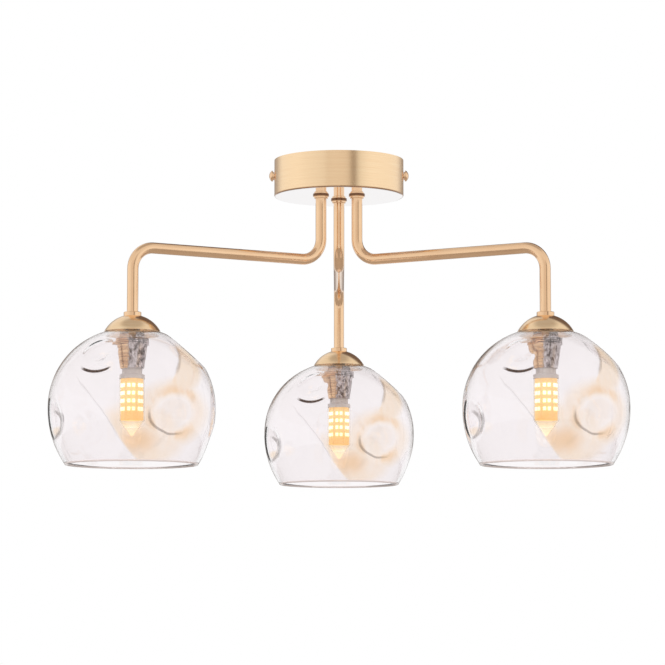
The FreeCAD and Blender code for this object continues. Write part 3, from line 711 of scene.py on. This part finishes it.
FLOOR_LEVEL = -3.8
FLOOR_RADIUS = 15
FLOOR_SEEN = (0.92, 0.92, 0.92)
FLOOR_LIFT = 0.32
FLOOR_REFLECTED = (0.65, 0.61, 0.58)

LAMP_AIM = (0, 0, -0.15)
LAMP_SIZE = 1.4

CAMERA_BACK = 2.7
CAMERA_LEVEL = -0.45
CAMERA_PIXELS = 2936
SENSOR_WIDTH = 36
IMAGE_SIDE = 665
AXIS_PIXEL = 339
HORIZON_PIXEL = 647


def make_world():
    """White studio: only reflections see the room, pale with a dark doorway, back and beam."""
    world = bpy.data.worlds.new("studio")
    bpy.context.scene.world = world
    world.use_nodes = True
    room = Graph(world.node_tree)
    towards = room.node("TexCoord").outputs["Generated"]
    level = room.axis(towards, "Z")
    backwards = room.math("MULTIPLY", room.axis(towards, "Y"), -1)
    bearing = room.math("ARCTAN2", room.axis(towards, "X"), backwards)
    walls = room.ramp(room.spread(bearing, 0, 1, -math.pi, math.pi), ROOM_AROUND)
    walls = room.blend(room.spread(level, 0, 1, *LOFT_LEVELS), walls, ROOM_LOFT)
    away = room.node("VectorMath", operation="DISTANCE")
    away.inputs[1].default_value = BEAM_TOWARDS
    room.link(towards, away.inputs[0])
    beside = room.spread(away.outputs["Value"], 0, 1, *BEAM_EDGE)
    walls = room.blend(beside, BEAM_TONE, walls)
    walls = room.blend(room.spread(level, 0, 1, -0.1, 0.0), ROOM_BELOW, walls)
    shaded = room.node("Mix", data_type="RGBA", blend_type="MULTIPLY")
    shaded.inputs["Factor"].default_value = 1
    room.link(walls, shaded.inputs["A"])
    room.link(room.ramp(room.spread(level, 0, 1, -1, 1), ROOM_ABOVE), shaded.inputs["B"])
    rays = room.node("LightPath").outputs
    straight = room.math("MAXIMUM", rays["Is Camera Ray"], rays["Is Transmission Ray"])
    background = room.tree.nodes["Background"]
    seen = room.blend(straight, shaded.outputs["Result"], (1, 1, 1))
    room.link(seen, background.inputs["Color"])
    background.inputs["Strength"].default_value = 1.0


def make_floor():
    """A pale floor, which reflections in the brass see darker."""
    bpy.ops.mesh.primitive_circle_add(
        vertices=128, radius=FLOOR_RADIUS, fill_type="NGON", location=(0, 0, FLOOR_LEVEL)
    )
    floor = bpy.context.object
    floor.name = "floor"
    surface = Surface("pale_floor")
    rays = surface.node("LightPath").outputs
    tint = surface.blend(rays["Is Glossy Ray"], FLOOR_SEEN, FLOOR_REFLECTED)
    surface.feed(tint, "Base Color")
    seen = surface.largest(rays["Is Camera Ray"], rays["Is Transmission Ray"])
    surface.feed(surface.product(seen, FLOOR_LIFT), "Emission Strength")
    surface.set(Roughness=0.7, Emission_Color=(1, 1, 1, 1))
    floor.data.materials.append(surface.material)


def area_light(name, place, power):
    """A round lamp that lights the object and isn't mirrored in it."""
    lamp = bpy.data.lights.new(name, "AREA")
    lamp.shape = "DISK"
    lamp.size = LAMP_SIZE
    lamp.energy = power
    item = bpy.data.objects.new(name, lamp)
    item.location = place
    item.rotation_mode = "QUATERNION"
    item.rotation_quaternion = (Vector(LAMP_AIM) - Vector(place)).to_track_quat("-Z", "Y")
    item.visible_glossy = False
    item.visible_transmission = False
    bpy.context.scene.collection.objects.link(item)


def make_camera():
    """The photograph's camera: its axis and horizon fall on the photograph's pixels."""
    camera = bpy.data.objects.new("camera", bpy.data.cameras.new("camera"))
    camera.data.sensor_width = SENSOR_WIDTH
    camera.data.lens = SENSOR_WIDTH * CAMERA_PIXELS / IMAGE_SIDE
    camera.data.clip_end = 50
    half = IMAGE_SIDE / 2
    pitch = math.atan((HORIZON_PIXEL - half) / CAMERA_PIXELS)
    yaw = math.atan((AXIS_PIXEL - half) / CAMERA_PIXELS)
    camera.location = (0, -CAMERA_BACK, CAMERA_LEVEL)
    camera.rotation_euler = (math.pi / 2 + pitch, 0, yaw)
    bpy.context.scene.collection.objects.link(camera)
    bpy.context.scene.camera = camera


# ---------------------------------------------------------------- assembly


def dress(material, *prefixes):
    """Gives every CAD node whose name starts with a prefix this material."""
    for name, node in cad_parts.items():
        if name.startswith(prefixes):
            node.data.materials.clear()
            node.data.materials.append(material)


bpy.context.scene.view_settings.view_transform = "Standard"
make_camera()
make_world()
make_floor()
area_light("key", (-1.6, -1.8, 0.9), 30)
area_light("fill", (1.8, -1.4, -0.2), 16)

tubes = brass("tube_brass", (30, 30, 30), 0.15, 0.01, TUBE_TONES)
zinc = plain("zinc", srgb(196, 198, 202), srgb(170, 173, 178), 0.34, 1.0)
terminal = plain("terminal_plastic", srgb(236, 233, 222), srgb(222, 218, 205), 0.45)
# The board between the LEDs gets a painted glow for the LEDs' light falling on it.
board = glowing("circuit_column", srgb(251, 208, 144), srgb(252, 218, 162), 0.6)
leds = glowing("led_phosphor", srgb(253, 240, 210), srgb(254, 249, 236), 1.1)
dress(canopy_brass("canopy_brass"), "canopy")
dress(tubes, "arm_tube", "low_collar", "side_", "earth_screw")
dress(collar_brass("collar_brass"), "top_collar")
dress(brass("dome_brass", (60, 60, 900), 0.2, 0.04, STREAK_TONES), "dome_cap")
dress(cup_metal("cup_metal"), "holder_cup")
dress(zinc, "ceiling_bracket", "stem_", "lock_nut")
dress(terminal, "terminal_block")
dress(plain("lead_sleeve", srgb(232, 228, 220), srgb(214, 208, 198), 0.6), "arm_wires")
dress(plain("seal", srgb(238, 238, 234), srgb(225, 225, 220), 0.55), "gasket")
dress(plain("ceramic", srgb(240, 237, 230), srgb(226, 221, 212), 0.5), "lampholder_insert")
dress(plain("bulb_collar", srgb(255, 249, 244), srgb(240, 230, 224), 0.4), "bulb_base")
dress(board, "bulb_board")
dress(leds, "bulb_leds")
dress(clear_sleeve("bulb_sleeve"), "bulb_cover")
make_shades(lustre_glass("lustre_glass"))
